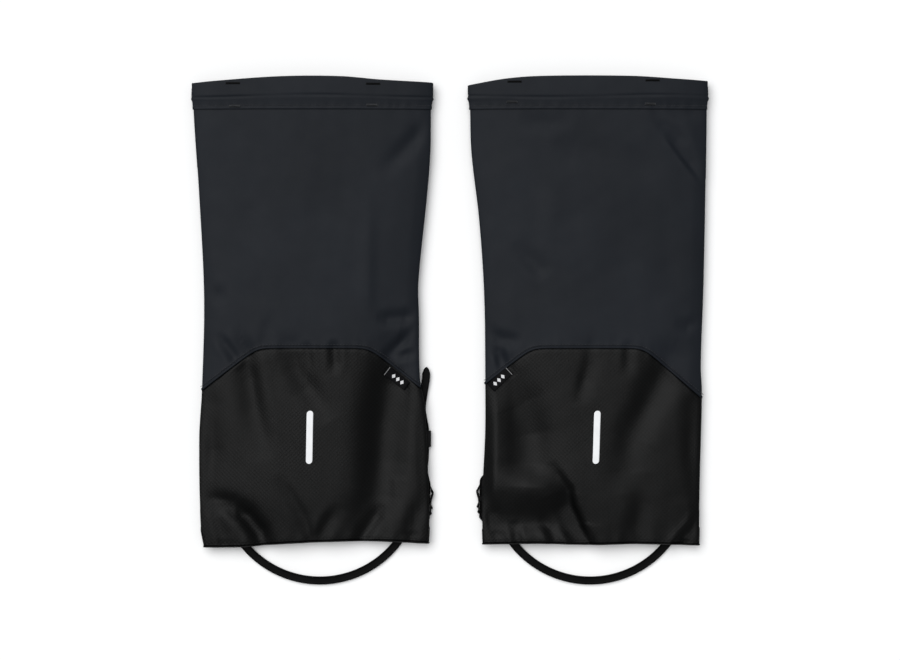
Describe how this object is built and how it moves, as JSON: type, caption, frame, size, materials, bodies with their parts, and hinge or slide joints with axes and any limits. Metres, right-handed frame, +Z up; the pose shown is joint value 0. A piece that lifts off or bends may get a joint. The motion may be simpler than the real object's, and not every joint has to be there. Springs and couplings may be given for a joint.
{
  "type": "gaiters",
  "caption": "Full-height hiking gaiters laid flat, with a reinforced lower panel, front storm flap, cam buckle cuff, lace hook and instep strap.",
  "frame": {"origin": "middle of the pair's footprint, on the table it lies on", "axes": "+X across the pair from the left gaiter to the right one, +Y up the legs from hem to cuff, +Z up from the table, out of the calf side"},
  "size_m": [0.479, 0.4717, 0.0193],
  "materials": {
    "shell": "smooth plain-weave softshell, dark charcoal with a slight blue tint",
    "scuff": "coarse abrasion-resistant basket weave, black",
    "webbing": "woven webbing and tape, black",
    "strap": "coated webbing strap, satin black",
    "plastic": "moulded, black",
    "metal": "dark nickel plating",
    "reflective": "retroreflective film, pale silver",
    "label": "woven label with a plain border and no mark"
  },
  "bodies": {
    "left_gaiter": {"left_upper_shell": "shell", "left_cuff": "shell", "left_seam_piping": "shell", "left_lower_shell": "scuff", "left_hem_band": "scuff", "left_loop_tape": "webbing", "left_cuff_webbing": "webbing", "left_cuff_buckle_tab": "webbing", "left_lace_hook_tab": "webbing", "left_rivet_tab": "webbing", "left_buckle_tab": "webbing", "left_strap_keeper": "webbing", "left_instep_tail": "strap", "left_instep_riveted_end": "strap", "left_cuff_buckle": "plastic", "left_instep_buckle": "plastic", "left_bottom_snap_stud": "metal", "left_top_snap_stud": "metal", "left_cuff_buckle_pin": "metal", "left_strap_rivet": "metal", "left_reflective_strip": "reflective", "left_label": "label"},
    "left_flap": {"left_storm_flap": "shell", "left_hook_tape": "webbing", "left_bottom_snap_cap": "metal", "left_top_snap_cap": "metal"},
    "left_cuff_lever": {"left_cuff_cam_lever": "plastic"},
    "left_lace_hook": {"left_lace_hook": "metal"},
    "left_instep_loop": {"left_instep_loop": "strap"},
    "right_gaiter": {"right_upper_shell": "shell", "right_cuff": "shell", "right_seam_piping": "shell", "right_lower_shell": "scuff", "right_hem_band": "scuff", "right_loop_tape": "webbing", "right_cuff_webbing": "webbing", "right_cuff_buckle_tab": "webbing", "right_lace_hook_tab": "webbing", "right_rivet_tab": "webbing", "right_buckle_tab": "webbing", "right_strap_keeper": "webbing", "right_instep_tail": "strap", "right_instep_riveted_end": "strap", "right_cuff_buckle": "plastic", "right_instep_buckle": "plastic", "right_bottom_snap_stud": "metal", "right_top_snap_stud": "metal", "right_cuff_buckle_pin": "metal", "right_strap_rivet": "metal", "right_reflective_strip": "reflective", "right_label": "label"},
    "right_flap": {"right_storm_flap": "shell", "right_hook_tape": "webbing", "right_bottom_snap_cap": "metal", "right_top_snap_cap": "metal"},
    "right_cuff_lever": {"right_cuff_cam_lever": "plastic"},
    "right_lace_hook": {"right_lace_hook": "metal"},
    "right_instep_loop": {"right_instep_loop": "strap"}
  },
  "joints": [
    {"name": "right_gaiter_lift", "type": "slide", "parent": "left_gaiter", "child": "right_gaiter", "axis": [0, 0, 1], "range_m": [0, 0.3]},
    {"name": "left_flap_hinge", "type": "hinge", "parent": "left_gaiter", "child": "left_flap", "pos_m": [-0.15718, -0.00049, 0.0021], "axis": [0, 1, 0], "range_deg": [0, 165]},
    {"name": "left_cuff_lever_pivot", "type": "hinge", "parent": "left_gaiter", "child": "left_cuff_lever", "pos_m": [-0.12918, 0.2158, 0.0026], "axis": [0, 1, 0], "range_deg": [0, 95]},
    {"name": "left_lace_hook_pivot", "type": "hinge", "parent": "left_gaiter", "child": "left_lace_hook", "pos_m": [-0.12618, -0.19049, 0.0019], "axis": [-1, 0, 0], "range_deg": [0, 180]},
    {"name": "left_instep_fold", "type": "hinge", "parent": "left_gaiter", "child": "left_instep_loop", "pos_m": [-0.12088, -0.204, 0.0026], "axis": [-1, 0, 0], "range_deg": [0, 100]},
    {"name": "right_flap_hinge", "type": "hinge", "parent": "right_gaiter", "child": "right_flap", "pos_m": [0.15832, -0.00049, 0.0021], "axis": [0, -1, 0], "range_deg": [0, 165]},
    {"name": "right_cuff_lever_pivot", "type": "hinge", "parent": "right_gaiter", "child": "right_cuff_lever", "pos_m": [0.13032, 0.2158, 0.0026], "axis": [0, -1, 0], "range_deg": [0, 95]},
    {"name": "right_lace_hook_pivot", "type": "hinge", "parent": "right_gaiter", "child": "right_lace_hook", "pos_m": [0.12732, -0.19049, 0.0019], "axis": [-1, 0, 0], "range_deg": [0, 180]},
    {"name": "right_instep_fold", "type": "hinge", "parent": "right_gaiter", "child": "right_instep_loop", "pos_m": [0.13032, -0.204, 0.0026], "axis": [-1, 0, 0], "range_deg": [0, 100]}
  ]
}
